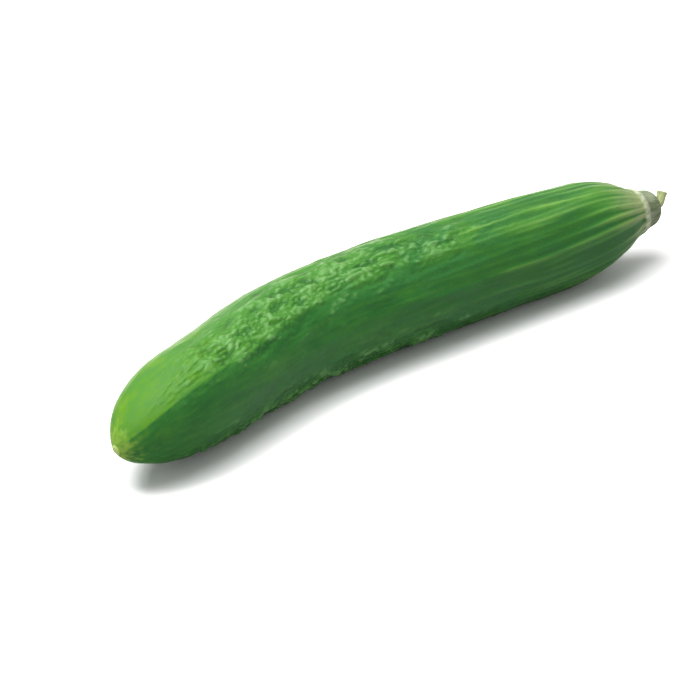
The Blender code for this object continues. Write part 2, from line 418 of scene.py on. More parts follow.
    def lobes(self, rings: Stations) -> Array:
        """Give three lobes, from about -0.36 to 0.58 high: flattish faces between creases."""
        return 2 / math.pi - np.hypot(np.sin(1.5 * self.from_crease(rings)), self.lobe_rounding)

    def bands(self, rings: Stations) -> Array:
        """Say how strongly the skin is puckered: most in a band beside the crest of each lobe."""
        apart = self.from_crease(rings) - math.radians(self.pucker_band)
        band = np.power(0.5 + 0.5 * np.cos(3 * apart), self.pucker_band_sharpness)
        return self.pucker_least + (1 - self.pucker_least) * band

    def lit_face_mask(self, rings: Stations) -> Array:
        """Say which face the key light falls on, for the painted light: the face above the crease,
        not the other two.

        Args:
            rings: Where the points are.

        Returns:
            From 0 on the shaded faces to 1 on the lit one.
        """
        past = (np.degrees(self.from_crease(rings)) + 120) % 360 - 120
        inside = np.minimum(past, 120 - past) / rings.read(self.border_width) * 0.5 + 0.5
        return smooth(np.clip(inside, 0.0, 1.0))

    def collar(self, shares: Array) -> Array:
        """Give the height of the collar round the neck in millimetres."""
        away = (shares - self.collar_share) / self.collar_width
        return self.collar_height_mm * np.exp(-(away**2))

    def skin_noise(self, rings: Stations, pattern: Pattern) -> Array:
        """Read smooth noise that follows the straightened fruit.

        Args:
            rings: Where the points are.
            pattern: The noise's size and place.

        Returns:
            Noise from about -0.5 to 0.5 for each point.
        """
        across = self.girth_radius / pattern.wide
        up = across * np.cos(np.radians(rings.degrees)) + pattern.place[1]
        side = across * np.sin(np.radians(rings.degrees)) + pattern.place[2]
        ahead = rings.shares * self.length / pattern.long + pattern.place[0]
        rows = [
            [noise.noise(Vector((x, a, b))) for a, b in zip(up[i], side[i])]
            for i, x in enumerate(ahead)
        ]
        return np.array(rows)


@dataclass
class NodeSheet:
    """A node tree that is being drawn, with short ways to add and join nodes."""

    tree: Tree
    column: int = 0

    def add(self, kind: str, label: str, inputs: Feeds = None, **settings: object) -> Node:
        """Add a node.

        Args:
            kind: Blender's name of the node type.
            label: What the node does, in plain words.
            inputs: What goes into its inputs, by name or place.
            settings: Properties to set on it.

        Returns:
            The node.
        """
        node = self.tree.nodes.new(kind)
        node.label = label
        node.location = (220 * self.column, -260 * (self.column % 4))
        self.column += 1
        for name, value in settings.items():
            setattr(node, name, value)
        self.feed(node, inputs)
        return node

    def feed(self, node: Node, inputs: Feeds) -> None:
        """Link a node's inputs to sockets, or set them to numbers, vectors and colours."""
        for name, value in (inputs or {}).items():
            socket = node.inputs[name]
            if isinstance(value, Socket):
                self.tree.links.new(value, socket)
            else:
                socket.default_value = (*value, 1.0) if socket.type == "RGBA" else value

    def mark(self, mark: Mark, output: str = "Fac") -> Socket:
        """Read one of the mesh's marks."""
        node = self.add("ShaderNodeAttribute", mark.value, attribute_name=mark.value)
        return node.outputs[output]

    def scaled(self, vector: Socket, along: float) -> Socket:
        """Stretch a place's first axis by a factor, which draws noise out along the plant."""
        inputs = {"Vector": vector, "Scale": (along, 1.0, 1.0)}
        return self.add("ShaderNodeMapping", "stretch", inputs).outputs["Vector"]

    def noise(self, vector: Socket, scale: Feed, detail: float, roughness: float = 0.5) -> Socket:
        """Add a noise texture.

        Args:
            vector: Where the noise is read.
            scale: Features a metre.
            detail: Octaves.
            roughness: Strength of the finer octaves.

        Returns:
            The noise value.
        """
        inputs = {"Vector": vector, "Scale": scale, "Detail": detail, "Roughness": roughness}
        return self.add("ShaderNodeTexNoise", "noise", inputs).outputs["Fac"]

    def range(
        self, value: Socket, low: float, high: float, to_low: float = 0.0, to_high: float = 1.0
    ) -> Socket:
        """Carry a value from one range to another, smoothly and within its limits."""
        names = ("Value", "From Min", "From Max", "To Min", "To Max")
        inputs = dict(zip(names, (value, low, high, to_low, to_high)))
        node = self.add("ShaderNodeMapRange", "range", inputs, interpolation_type="SMOOTHSTEP")
        return node.outputs["Result"]

    def sum(self, operation: str, first: Socket, second: Feed = 0.0) -> Socket:
        """Do arithmetic on a value and another value or a number."""
        inputs = {0: first, 1: second}
        node = self.add("ShaderNodeMath", operation.lower(), inputs, operation=operation)
        return node.outputs["Value"]

    def times(self, first: Socket, second: Feed) -> Socket:
        """Multiply a value by another value or a number."""
        return self.sum("MULTIPLY", first, second)

    def plus(self, first: Socket, second: Feed) -> Socket:
        """Add another value or a number to a value."""
        return self.sum("ADD", first, second)

    def minus(self, first: Socket, second: Feed) -> Socket:
        """Take another value or a number from a value."""
        return self.sum("SUBTRACT", first, second)

    def mix(self, mask: Socket, first: Feed, second: Feed) -> Socket:
        """Blend two colours: the mask's 0 shows the first, its 1 the second."""
        inputs = {MIX_MASK: mask, MIX_FIRST: first, MIX_SECOND: second}
        return self.add("ShaderNodeMix", "blend", inputs, data_type="RGBA").outputs[MIX_RESULT]

    def bump(self, label: str, height: Socket, distance: float, strength: float) -> Node:
        """Add a bump of a height in metres."""
        inputs = {"Height": height, "Distance": distance, "Strength": strength}
        return self.add("ShaderNodeBump", label, inputs)

    def grain(self, group: Tree, place: Socket, values: Triple) -> Node:
        """Place the grain group, with its mottles a metre, flecks a metre and fleck share."""
        inputs = {"Place": place, **dict(zip(GRAIN_VALUES, values))}
        return self.add("ShaderNodeGroup", "plant grain", inputs, node_tree=group)


class GroupSocket(Enum):
    """The kinds of socket that a node group has."""

    VALUE = "NodeSocketFloat"
    VECTOR = "NodeSocketVector"


def plant_grain_group() -> Tree:
    """Build the grain of living skin: a mottle and fine pale flecks, drawn out along the plant.

    Returns:
        A node group with a mottle, a fleck mask and a height for bumps. A fleck shows where its
        noise is above the fleck share.
    """
    tree = bpy.data.node_groups.new("plant_grain", "ShaderNodeTree")
    sockets = [("Place", "INPUT", GroupSocket.VECTOR)]
    sockets += [(name, "INPUT", GroupSocket.VALUE) for name in GRAIN_VALUES]
    sockets += [(name, "OUTPUT", GroupSocket.VALUE) for name in ("Mottle", "Fleck", "Height")]
    for name, way, kind in sockets:
        tree.interface.new_socket(name=name, in_out=way, socket_type=kind.value)
    sheet = NodeSheet(tree)
    start = sheet.add("NodeGroupInput", "in").outputs
    end = sheet.add("NodeGroupOutput", "out")
    long = sheet.scaled(start["Place"], 0.35)
    mottle = sheet.noise(long, start["Mottle Scale"], 4.0, 0.55)
    fleck = sheet.noise(long, start["Fleck Scale"], 2.0, 0.6)
    above = sheet.minus(fleck, start["Fleck Share"])
    outputs = {
        "Mottle": sheet.range(mottle, 0.32, 0.68),
        "Fleck": sheet.range(above, 0.0, 0.10),
        "Height": sheet.plus(sheet.times(mottle, 0.35), fleck),
    }
    sheet.feed(end, outputs)
    return tree


def new_material(name: str) -> tuple[Material, NodeSheet, Node]:
    """Start a material, and give it with its sheet and its shader."""
    material = bpy.data.materials.new(name)
    material.use_nodes = True
    return material, NodeSheet(material.node_tree), material.node_tree.nodes["Principled BSDF"]


@dataclass(frozen=True)
class SkinMaps:
    """What the skin's material is drawn from: its place, its grain and the mesh's marks."""

    sheet: NodeSheet
    straight: Socket
    living: Node
    streak: Socket
    along: Socket
    crest: Socket
    pucker: Socket
    band: Socket
    sunny: Socket


@dataclass(frozen=True)
class SkinFinish:
    """Waxy green skin, paler at its ends, with light and shade painted in: paler and yellower on
    the face the key light falls on, painted shade in its hollows and valleys, painted glints, a
    painted rim reflection, and pale crest lines that are partly a painted highlight.

    A span is a pair of values between which an effect comes in.
    """

    deep: Colour = (0.012, 0.104, 0.015)
    leaf: Colour = (0.024, 0.140, 0.020)
    sunny: Colour = (0.048, 0.176, 0.020)
    hollow_shade: Colour = (0.014, 0.086, 0.013)
    cool: Colour = (0.022, 0.128, 0.030)
    crest: Colour = (0.145, 0.305, 0.058)
    blossom: Colour = (0.062, 0.196, 0.006)
    tip: Colour = (0.210, 0.350, 0.045)
    scar: Colour = (0.380, 0.480, 0.150)
    knob: Colour = (0.225, 0.255, 0.170)
    knob_deep: Colour = (0.100, 0.130, 0.065)
    collar: Colour = (0.470, 0.500, 0.350)
    tan: Colour = (0.270, 0.310, 0.140)
    lit_spot: Colour = (0.120, 0.250, 0.006)
    painted_glint: Colour = (0.150, 0.330, 0.100)
    painted_rim_light: Colour = (0.330, 0.440, 0.210)
    roughness: float = 0.48
    specular: float = 0.20
    grain: Triple = (180.0, 1500.0, 0.58)
    grain_height: float = 0.00010
    wrinkle_height: float = 0.00045
    streaks: float = 520.0
    patches: float = 100.0
    wrinkles: float = 620.0
    rim_light_span: Span = (0.70, 0.93)
    rim_light_strength: float = 0.50
    dry_span: Span = (0.94, 0.975)
    waxless_span: Span = (0.20, 0.06)
    stem_span: Span = (0.40, 0.80)
    line_span: Span = (0.30, 1.15)
    blossom_fall: float = 3.0
    tip_fall: float = 22.0
    lit_spot_span: Span = (0.28, 0.10)
    lit_spot_side: Span = (-0.010, 0.008)
    scar_span: Span = (0.0009, 0.0002)
    tan_span: Span = (0.87, 0.958)
    knob_span: Span = (0.954, 0.974)
    collar_place: float = 0.965
    collar_span: Span = (0.0085, 0.0025)

    def material(self, grain: Tree) -> Material:
        """Build the material.

        Args:
            grain: The grain of living skin.

        Returns:
            The skin's material.
        """
        material, sheet, shader = new_material("cucumber_skin")
        straight = sheet.mark(Mark.STRAIGHT, "Vector")
        living = sheet.grain(grain, straight, self.grain)
        streak = sheet.noise(sheet.scaled(straight, 0.06), self.streaks, 3.0)
        marks = {mark.value: sheet.mark(mark) for mark in Mark if mark is not Mark.STRAIGHT}
        maps = SkinMaps(sheet, straight, living, streak, **marks)
        colour = self.body_colour(maps)
        colour = self.blossom_colour(maps, colour)
        colour = self.neck_colour(maps, colour)
        # Painted reflection: a pale rim where the skin is seen edge-on, strongest on the lit face.
        glance = sheet.add("ShaderNodeLayerWeight", "painted rim light").outputs["Facing"]
        inputs = {
            "Base Color": sheet.mix(self.edge(maps, glance), colour, self.painted_rim_light),
            "Roughness": self.shine(maps),
            "Specular IOR Level": self.specular,
            "Normal": self.bumps(maps),
        }
        sheet.feed(shader, inputs)
        return material

    def edge(self, maps: SkinMaps, glance: Socket) -> Socket:
        """Say how much painted rim reflection shows where the skin is seen edge-on: most on the lit
        face.
        """
        painted_rim_light = maps.sheet.range(glance, *self.rim_light_span, 0.0, self.rim_light_strength)
        return maps.sheet.times(painted_rim_light, maps.sheet.range(maps.sunny, 0.1, 0.9, 0.25, 1.0))

    def shine(self, maps: SkinMaps) -> Socket:
        """Give the roughness: dry at the neck, dull at the blossom end, glossy in the bands."""
        sheet, mottle = maps.sheet, maps.living.outputs["Mottle"]
        rough = sheet.range(mottle, 0.0, 1.0, self.roughness - 0.05, self.roughness)
        ends = sheet.range(maps.along, *self.dry_span, 0.0, 0.28)
        ends = sheet.plus(ends, sheet.range(maps.along, *self.waxless_span, 0.0, 0.18))
        return sheet.minus(sheet.plus(rough, ends), sheet.times(maps.band, 0.20))

    def body_colour(self, maps: SkinMaps) -> Socket:
        """Colour the body: mottled green, paler and yellower on the lit face as painted light, with
        painted shade in the hollows and valleys, painted glints on the puckers, and pale lines on
        the ribs that are partly a painted highlight.

        Args:
            maps: What the colour is drawn from.

        Returns:
            The colour.
        """
        sheet, along, pucker, streak = maps.sheet, maps.along, maps.pucker, maps.streak
        patch = sheet.noise(sheet.scaled(maps.straight, 0.5), self.patches, 3.0, 0.6)
        colour = sheet.mix(maps.living.outputs["Mottle"], self.deep, self.leaf)
        # Random streaks of the paler lit-face colour, all round.
        colour = sheet.mix(sheet.range(streak, 0.46, 0.66, 0.0, 0.35), colour, self.sunny)
        # Painted light: the face the key light falls on is coloured paler and yellower, and the
        # shaded faces stay deep green; random patches spread it.
        lit = sheet.plus(maps.sunny, sheet.times(patch, 0.50))
        colour = sheet.mix(sheet.range(lit, 0.15, 1.25), colour, self.sunny)
        dim = sheet.range(patch, 0.54, 0.40, 0.0, 0.60)
        colour = sheet.mix(sheet.times(dim, sheet.range(along, 0.2, 0.6)), colour, self.cool)
        # Painted shade: darker green in the hollows of the puckers.
        colour = sheet.mix(sheet.range(pucker, 0.0, -0.4, 0.0, 0.75), colour, self.hollow_shade)
        # Painted highlight: pale glints on the raised tops of the puckers.
        colour = sheet.mix(sheet.range(pucker, 0.15, 0.55, 0.0, 0.45), colour, self.painted_glint)
        # Painted shade: darker green in the valleys beside the ribs, on the stem half.
        valley_shade = sheet.range(maps.crest, 0.60, 0.10, 0.0, 0.60)
        valley_shade = sheet.times(valley_shade, sheet.range(along, *self.stem_span))
        colour = sheet.mix(valley_shade, colour, self.hollow_shade)
        # Pale lines on the rib crests: partly the skin's own pale crest colour, partly a painted
        # highlight on the ridges; they are painted stronger on the lit face, and near the stem on
        # all faces.
        line = sheet.times(maps.crest, sheet.range(along, *self.stem_span, 0.25, 1.0))
        line = sheet.range(line, *self.line_span)
        line = sheet.times(line, sheet.range(streak, 0.34, 0.60, 0.35, 0.85))
        shade = sheet.range(maps.sunny, 0.0, 0.9, 0.5, 1.0)
        shade = sheet.sum("MAXIMUM", shade, sheet.range(along, 0.78, 0.92, 0.0, 0.95))
        colour = sheet.mix(sheet.times(line, shade), colour, self.crest)
        return sheet.mix(sheet.times(maps.living.outputs["Fleck"], 0.10), colour, self.crest)

    def blossom_colour(self, maps: SkinMaps, colour: Socket) -> Socket:
        """Lay the blossom end's streaks, yellow spots, pale tip and scar over a colour; the streaks
        reach further on the lit face and the spots lie only on it, as painted light.

        Args:
            maps: What the colour is drawn from.
            colour: The colour below.

        Returns:
            The colour.
        """
        sheet, along, streak, sunny = maps.sheet, maps.along, maps.streak, maps.sunny
        # The yellow-green blossom tint reaches further on the lit face, as painted light.
        reach = sheet.plus(streak, sheet.times(sunny, 0.50))
        reach = sheet.minus(reach, sheet.times(along, self.blossom_fall))
        uneven = sheet.range(sheet.noise(maps.straight, 210.0, 3.0, 0.6), 0.36, 0.62, 0.35, 1.0)
        mask = sheet.times(sheet.range(reach, 0.35, 1.0), uneven)
        colour = sheet.mix(mask, colour, self.blossom)
        # Random yellow spots near the blossom end, laid only on the lit face, where they add to its
        # painted light.
        spot = sheet.noise(sheet.scaled(maps.straight, 0.5), 130.0, 2.0)
        spot = sheet.range(spot, 0.44, 0.72, 0.0, 0.65)
        place = sheet.add("ShaderNodeSeparateXYZ", "side of the fruit", {"Vector": maps.straight})
        for mask in (
            sheet.range(along, *self.lit_spot_span),
            sheet.range(sunny, 0.3, 0.9),
            sheet.range(place.outputs["Z"], *self.lit_spot_side),
        ):
            spot = sheet.times(spot, mask)
        colour = sheet.mix(spot, colour, self.lit_spot)
        near = sheet.minus(streak, sheet.times(along, self.tip_fall))
        colour = sheet.mix(sheet.range(near, 0.05, 0.55, 0.0, 0.8), colour, self.tip)
        return sheet.mix(sheet.range(along, *self.scar_span), colour, self.scar)

    def neck_colour(self, maps: SkinMaps, colour: Socket) -> Socket:
        """Lay the tan rib ends, the pale collar, whose paleness is partly a painted highlight, and
        the olive knob over a colour.

        Args:
            maps: What the colour is drawn from.
            colour: The colour below.

        Returns:
            The colour.
        """
        sheet, along, streak = maps.sheet, maps.along, maps.streak
        place = sheet.plus(along, sheet.times(streak, 0.010))
        ends = sheet.range(along, *self.tan_span)
        ends = sheet.times(ends, sheet.range(maps.crest, 0.30, 0.9))
        colour = sheet.mix(sheet.times(ends, 0.80), colour, self.tan)
        knob = sheet.mix(sheet.range(streak, 0.36, 0.62), self.knob_deep, self.knob)
        colour = sheet.mix(sheet.range(place, *self.knob_span, 0.0, 0.95), colour, knob)
        # The pale collar ring: partly the dry skin's own pale colour, partly a painted highlight on
        # the collar's rim.
        ring = sheet.sum("ABSOLUTE", sheet.minus(place, self.collar_place))
        ring = sheet.range(ring, *self.collar_span)
        ring = sheet.times(ring, sheet.range(streak, 0.35, 0.60, 0.35, 0.95))
        return sheet.mix(ring, colour, self.collar)

    def bumps(self, maps: SkinMaps) -> Socket:
        """Raise the finest wrinkles in the puckered bands, and the grain everywhere.

        Args:
            maps: What the bumps are drawn from.

        Returns:
            The normal.
        """
        sheet = maps.sheet
        wrinkle = sheet.noise(sheet.scaled(maps.straight, 0.6), self.wrinkles, 2.0)
        wrinkle = sheet.times(sheet.sum("ABSOLUTE", sheet.minus(wrinkle, 0.5)), maps.band)
        first = sheet.bump("fine wrinkles", wrinkle, self.wrinkle_height, 1.0)
        second = sheet.bump("skin grain", maps.living.outputs["Height"], self.grain_height, 0.6)
        sheet.feed(second, {"Normal": first.outputs["Normal"]})
        return second.outputs["Normal"]


@dataclass(frozen=True)
class StalkFinish:
    """Matt yellow-green stem with fibres, drier and paler on its cut end."""

    green: Colour = (0.220, 0.280, 0.080)
    pale: Colour = (0.390, 0.430, 0.200)
    cut: Colour = (0.680, 0.670, 0.430)
    roughness: float = 0.6
    grain: Triple = (900.0, 3200.0, 0.56)
    fibres: float = 2600.0
    fibre_height: float = 0.00015
    cut_span: Span = (0.93, 0.99)

    def material(self, grain: Tree) -> Material:
        """Build the material.

        Args:
            grain: The grain of living skin.

        Returns:
            The stalk's material.
        """
        material, sheet, shader = new_material("stalk_skin_fibres")
        straight = sheet.mark(Mark.STRAIGHT, "Vector")
        living = sheet.grain(grain, straight, self.grain).outputs
        fibre = sheet.noise(sheet.scaled(straight, 0.08), self.fibres, 3.0)
        colour = sheet.mix(sheet.range(fibre, 0.36, 0.64), self.green, self.pale)
        colour = sheet.mix(sheet.times(living["Fleck"], 0.4), colour, self.pale)
        cut = sheet.range(sheet.mark(Mark.ALONG), *self.cut_span)
        bump = sheet.bump("fibres", sheet.plus(fibre, living["Height"]), self.fibre_height, 0.8)
        inputs = {
            "Base Color": sheet.mix(cut, colour, self.cut),
            "Roughness": sheet.range(fibre, 0.3, 0.7, self.roughness - 0.1, self.roughness + 0.1),
            "Normal": bump.outputs["Normal"],
        }
        sheet.feed(shader, inputs)
        return material


def clear_selection() -> None:
    """Leave edit mode and deselect everything."""
    if bpy.context.object and bpy.context.object.mode != "OBJECT":
        bpy.ops.object.mode_set(mode="OBJECT")
    bpy.ops.object.select_all(action="DESELECT")


def mark_mesh(mesh: Mesh, mark: Mark, values: Array) -> None:
    """Store a mark on a mesh, as one number or one vector a vertex."""
    kind, name = ("FLOAT_VECTOR", "vector") if values.ndim == 2 else ("FLOAT", "value")
    attribute = mesh.attributes.new(mark.value, kind, "POINT")
    attribute.data.foreach_set(name, np.ascontiguousarray(values, dtype=np.float32).ravel())


def quarter_turn(count: int) -> Array:
    """Spread angles evenly from 0 up to a quarter turn, in radians."""
    return math.pi / 2 * np.arange(count) / count


@dataclass
class Fruit:
    """The fruit's skin, scar, neck and socket as one closed mesh.

    The scar's edge and the socket's rim are rows of radius and height: shares of the scar's own,
    and a share of the rim's width with metres past the end.
    """

    form: FruitForm = field(default_factory=FruitForm)
    shift: Vector = field(default_factory=Vector)
    columns_per_rib: int = 12
    ring_count: int = 408
    cap_rings: int = 64
    neck_rings: int = 52
    scar_rings: int = 8
    scar_flat: float = 0.9
    scar_edge: Rows = ((0.97, 0.55), (1.06, -0.5))
    socket_rings: int = 12
    socket_rim: Rows = ((0.5, 0.0), (0.15, -0.0003))
    socket_lip: float = 0.0008
    wrinkle: Pattern = Pattern(0.0044, 0.0027, (9.1, 2.3, 7.7))
    fine_wrinkle: Pattern = Pattern(0.0022, 0.00135, (1.3, 8.9, 4.2))
    breaking: float = 0.45
    wrinkle_level: float = 0.3
    line_width: float = 0.7
    fine_line: float = 0.8

    def stations(self) -> Stations:
        """Spread the rings from the scar, along the body and the neck, down into the socket.

        Returns:
            The rings between the two poles of the sphere.
        """
        form = self.form
        top, socket, depth = form.scar_radius, form.socket_radius, form.socket_depth
        flat = self.scar_flat * np.arange(1, self.scar_rings - 1) / self.scar_rings
        edge, rim = np.array(self.scar_edge), np.array(self.socket_rim)
        scar_radii = top * np.concatenate((flat, edge[:, 0]))
        scar_past = -form.scar_height * np.concatenate((np.ones(len(flat)), edge[:, 1]))
        cap = form.blossom_cap * (1 - np.cos(quarter_turn(self.cap_rings)[1:]))
        cap = cap[form.plain_radius(cap) > top + form.scar_foot * 0.7]
        neck = 1 - form.neck_zone * (1 - np.sin(quarter_turn(self.neck_rings)))
        neck = neck[form.plain_radius(neck) > socket + form.socket_rim]
        wall = np.linspace(0, 1, self.socket_rings // 2)
        floor = np.linspace(1, 0, self.socket_rings // 2, endpoint=False)[1:]
        in_radii = np.concatenate((np.ones(len(wall)), floor)) * socket
        in_radii = np.concatenate((socket + form.socket_rim * rim[:, 0], in_radii))
        in_past = -self.socket_lip - (depth - self.socket_lip) * wall
        in_past = np.concatenate((rim[:, 1], in_past, np.full(len(floor), -depth)))
        body_rings = self.ring_count - 1 - len(scar_radii) - len(cap) - len(neck) - len(in_radii)
        body = np.linspace(form.blossom_cap, 1 - form.neck_zone, body_rings, endpoint=False)
        skin = np.concatenate((cap, body, neck))
        before, after = np.zeros(len(scar_radii)), np.zeros(len(in_radii))
        shares = np.concatenate((before, skin, after + 1))
        return Stations(
            shares=shares,
            radii=np.concatenate((scar_radii, form.plain_radius(skin), in_radii)),
            past=np.concatenate((scar_past, np.zeros(len(skin)), in_past)),
            on_skin=np.concatenate((before, np.ones(len(skin)), after)),
            degrees=form.column_angles(shares, self.columns()),
        )

    def columns(self) -> int:
        """Count the mesh's columns."""
        return len(self.form.ribs) * self.columns_per_rib

    def sphere(self) -> Piece:
        """Add the sphere that the fruit is shaped from."""
        clear_selection()
        bpy.ops.mesh.primitive_uv_sphere_add(
            segments=self.columns(), ring_count=self.ring_count, radius=1.0, location=(0, 0, 0)
        )
        piece = bpy.context.object
        piece.name = "cucumber_fruit"
        return piece

    def vertex_places(self, mesh: Mesh) -> tuple[Array, Array]:
        """Find the ring and the column of each of the sphere's vertices."""
        ball = np.empty(len(mesh.vertices) * 3, dtype=np.float32)
        mesh.vertices.foreach_get("co", ball)
        x, y, z = ball.reshape(-1, 3).T
        ring = np.rint(np.arccos(np.clip(z, -1, 1)) / math.pi * self.ring_count)
        column = np.rint(np.arctan2(y, x) / math.tau * self.columns()) % self.columns()
        return ring.astype(int), column.astype(int)

    def relief(self, rings: Stations) -> tuple[Array, dict[Mark, Array]]:
        """Raise the ribs, lobes, puckers, wrinkles and the collar.

        Args:
            rings: Where the points are.

        Returns:
            The heights in millimetres, and the marks that come from them.
        """
        form = self.form
        crest, fine_crest = form.crests(rings), form.fine_crests(rings)
        pucker, band = form.skin_noise(rings, form.pucker), form.bands(rings)
        folds = form.skin_noise(rings, self.wrinkle)
        folds += self.breaking * form.skin_noise(rings, self.fine_wrinkle)
        wrinkle = 2 * np.abs(folds) - self.wrinkle_level
        puckered = band * rings.read(form.pucker_height_mm)
        creased = band**2 * rings.read(form.wrinkle_height_mm)
        height = crest * rings.read(form.rib_height_mm)
        height += fine_crest * rings.read(form.fine_rib_height_mm)
        height += form.lobes(rings) * rings.read(form.lobe_height_mm)
        height += pucker * puckered + wrinkle * creased + form.collar(rings.shares)[:, None]
        puckered = puckered / np.max(puckered)
        creased = creased / np.max(creased)
        line = crest * form.ridge_phase(self.columns()) ** self.line_width
        line += self.fine_line * fine_crest * np.clip(1 - line, 0.0, 1.0)
        marks = {
            Mark.CREST: line * rings.on_skin[:, None],
            Mark.PUCKER: pucker * puckered + wrinkle * creased,
            Mark.BAND: creased,
            Mark.LIT_FACE: form.lit_face_mask(rings),
        }
        return height * rings.on_skin[:, None], marks

    def build(self) -> Piece:
        """Shape the sphere into the fruit, and store what its material reads.

        Returns:
            The fruit's object.
        """
        piece = self.sphere()
        mesh = piece.data
        rings = self.stations()
        height, marks = self.relief(rings)
        raised = rings.radii[:, None] + height / 1000
        points, forward, side, up = self.form.place(rings.shares)
        turned = np.radians(rings.degrees)[..., None]
        across = np.cos(turned) * up[:, None] + np.sin(turned) * side[:, None]
        middles = points + forward * rings.past[:, None]
        grid = middles[:, None] + across * raised[..., None]

        ring, column = self.vertex_places(mesh)
        inner = (ring > 0) & (ring < self.ring_count)
        place = np.empty((len(mesh.vertices), 3))
        place[inner] = grid[ring[inner] - 1, column[inner]]
        place[ring == 0] = middles[0]
        place[ring == self.ring_count] = middles[-1]
        self.lay_down(place)
        mesh.vertices.foreach_set("co", place.astype(np.float32).ravel())

        ring = np.clip(ring - 1, 0, len(rings.shares) - 1)
        along, girth = rings.shares[ring], rings.radii[ring]
        turned = np.radians(rings.degrees[ring, column])
        straight = (along * self.form.length, girth * np.cos(turned), girth * np.sin(turned))
        mark_mesh(mesh, Mark.ALONG, along)
        mark_mesh(mesh, Mark.STRAIGHT, np.column_stack(straight))
        for mark, values in marks.items():
            mark_mesh(mesh, mark, values[ring, column])
        self.finish_mesh(piece)
        return piece

    def lay_down(self, place: Array) -> None:
        """Set the points on the floor and over the solid's own place, and flatten the underside.

        Args:
            place: The points, one a row, changed where they are.
        """
        low, high = (np.array(corner)[:2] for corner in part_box("fruit"))
        level = place[:, 2].min() + self.form.resting_depth
        shift = (low + high - place[:, :2].min(axis=0) - place[:, :2].max(axis=0)) / 2
        self.shift = Vector((shift[0], shift[1], -level))
        place[:, :2] += shift
        place[:, 2] = np.maximum(place[:, 2] - level, 0.0)

    def finish_mesh(self, piece: Piece) -> None:
        """Point the faces outwards and shade the skin smooth."""
        clear_selection()
        bpy.context.view_layer.objects.active = piece
        piece.select_set(True)
        bpy.ops.object.mode_set(mode="EDIT")
        bpy.ops.mesh.select_all(action="SELECT")
        bpy.ops.mesh.normals_make_consistent(inside=False)
        bpy.ops.object.mode_set(mode="OBJECT")
        bpy.ops.object.shade_smooth()

    def dress(self, piece: Piece, material: Material) -> None:
        """Give the fruit its skin and its place in the model."""
        piece.data.materials.append(material)
        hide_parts("fruit")
        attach(piece, "root")


